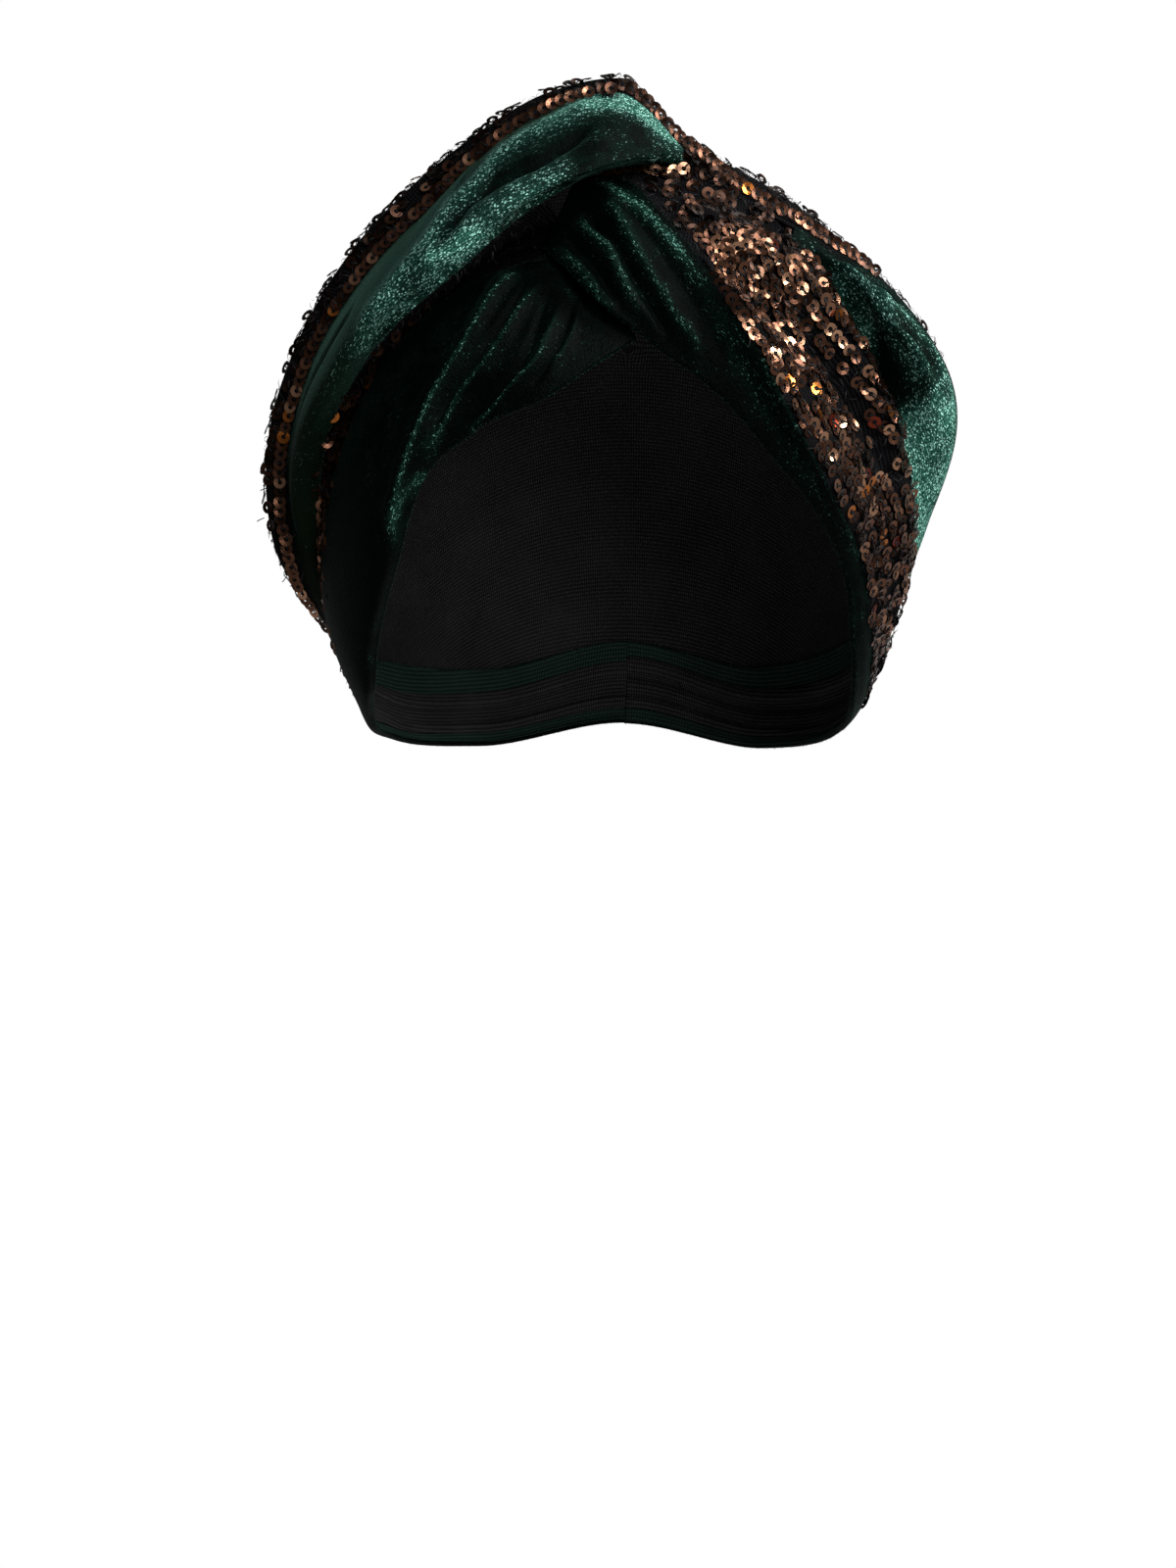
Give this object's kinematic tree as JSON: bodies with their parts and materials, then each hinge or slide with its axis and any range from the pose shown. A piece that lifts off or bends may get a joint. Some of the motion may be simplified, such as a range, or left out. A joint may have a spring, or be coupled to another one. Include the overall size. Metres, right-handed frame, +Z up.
{
  "type": "turban headwrap",
  "caption": "Twisted-front turban headwrap of striped velvet and sequined cloth, shown worn with the head left out",
  "frame": {"origin": "top of the head that wears the wrap, inside its crown", "axes": "+Z up along the wearer, -Y out of the face opening, +X to the viewer's right as the wrap is seen from the front"},
  "size_m": [0.2043, 0.1654, 0.2241],
  "materials": {
    "velvet": "deep green velvet",
    "sequin_mesh": "black knit mesh covered with copper sequins"
  },
  "bodies": {
    "root": {"left_front_velvet": "velvet", "left_front_sequin": "sequin_mesh", "left_rear_velvet": "velvet", "right_front_velvet": "velvet", "right_front_sequin": "sequin_mesh", "right_rear_velvet": "velvet", "crown_sequin": "sequin_mesh"}
  },
  "joints": []
}
